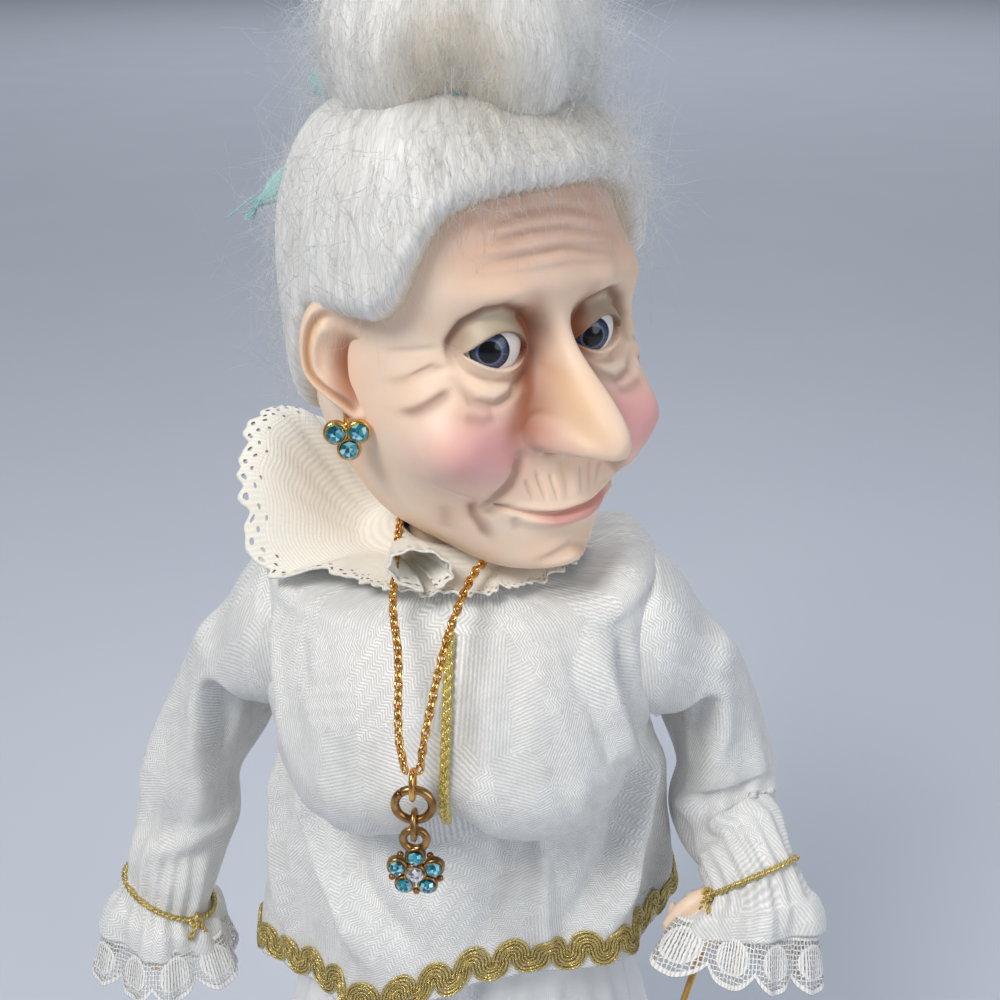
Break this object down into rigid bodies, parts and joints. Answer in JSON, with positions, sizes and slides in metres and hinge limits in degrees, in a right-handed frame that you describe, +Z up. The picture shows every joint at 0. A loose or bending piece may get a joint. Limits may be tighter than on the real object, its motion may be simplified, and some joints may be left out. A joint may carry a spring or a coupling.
{
  "type": "fairy doll",
  "caption": "Standing fairy doll of an old woman with a white bun, in an ivory brocade tunic, lace ruff and long skirt, holding a thin wand; head, arms and pendant move.",
  "frame": {"origin": "middle of the wooden base's underside, on the surface that the doll stands on", "axes": "+Z up along the post; the doll's body faces -Y and her left side is +X"},
  "size_m": [0.1461, 0.1306, 0.324],
  "materials": {
    "skin": "satin painted vinyl",
    "hair": "combed white mohair",
    "brocade": "ivory satin brocade",
    "lace": "cotton lace",
    "gold_thread": "metallic gold thread",
    "gilt": "worn gilt",
    "aqua_glass": "foil-backed cut glass",
    "clear_glass": "foil-backed cut glass",
    "eye_glass": "polished, with a painted iris",
    "ribbon": "turquoise ribbon",
    "wood": "plain turned wood",
    "muslin": "stuffed muslin",
    "collar": "moulded"
  },
  "bodies": {
    "figure": {"base_disc": "wood", "centre_post": "wood", "torso": "muslin", "neck_socket": "collar", "skirt": "brocade", "tunic": "brocade", "hem_gimp": "gold_thread", "placket_braid": "gold_thread", "lace_ruff": "lace", "necklace_chain": "gilt", "chain_link": "gilt"},
    "head": {"head": "skin", "hair_cap": "hair", "hair_bun": "hair", "hair_ribbon": "ribbon", "left_eye": "eye_glass", "right_eye": "eye_glass", "left_earring_setting": "gilt", "left_earring_stone_1": "aqua_glass", "left_earring_stone_2": "aqua_glass", "left_earring_stone_3": "aqua_glass", "right_earring_setting": "gilt", "right_earring_stone_1": "aqua_glass", "right_earring_stone_2": "aqua_glass", "right_earring_stone_3": "aqua_glass"},
    "left_arm": {"left_arm": "skin", "left_sleeve": "brocade", "left_cuff_cord": "gold_thread", "left_cuff_lace": "lace"},
    "right_arm": {"right_arm": "skin", "right_sleeve": "brocade", "right_cuff_cord": "gold_thread", "right_cuff_lace": "lace"},
    "wand": {"wand_rod": "gilt", "wand_star": "gilt"},
    "ring": {"jump_ring": "gilt"},
    "pendant": {"pendant_link": "gilt", "pendant_setting": "gilt", "pendant_centre_stone": "clear_glass", "pendant_petal_stone_1": "aqua_glass", "pendant_petal_stone_2": "aqua_glass", "pendant_petal_stone_3": "aqua_glass", "pendant_petal_stone_4": "aqua_glass", "pendant_petal_stone_5": "aqua_glass"}
  },
  "joints": [
    {"name": "neck_turn", "type": "hinge", "parent": "figure", "child": "head", "pos_m": [0, 0, 0.212], "axis": [0, 0, 1], "range_deg": [-65, 30]},
    {"name": "left_shoulder", "type": "hinge", "parent": "figure", "child": "left_arm", "pos_m": [0.038, 0.002, 0.196], "axis": [-1, 0, 0], "range_deg": [0, 80]},
    {"name": "right_shoulder", "type": "hinge", "parent": "figure", "child": "right_arm", "pos_m": [-0.038, 0.002, 0.196], "axis": [-1, 0, 0], "range_deg": [-15, 80]},
    {"name": "wand_turn", "type": "hinge", "parent": "left_arm", "child": "wand", "pos_m": [0.04957, -0.02371, 0.14259], "axis": [-0.3383, -0.5174, -0.786], "range_deg": [-180, 180]},
    {"name": "ring_swing", "type": "hinge", "parent": "figure", "child": "ring", "pos_m": [-0.0045, -0.0489, 0.19357], "axis": [0, 1, 0], "range_deg": [-40, 40]},
    {"name": "pendant_swing", "type": "hinge", "parent": "ring", "child": "pendant", "pos_m": [-0.0045, -0.0489, 0.18892], "axis": [-1, 0, 0], "range_deg": [-4, 60]}
  ]
}
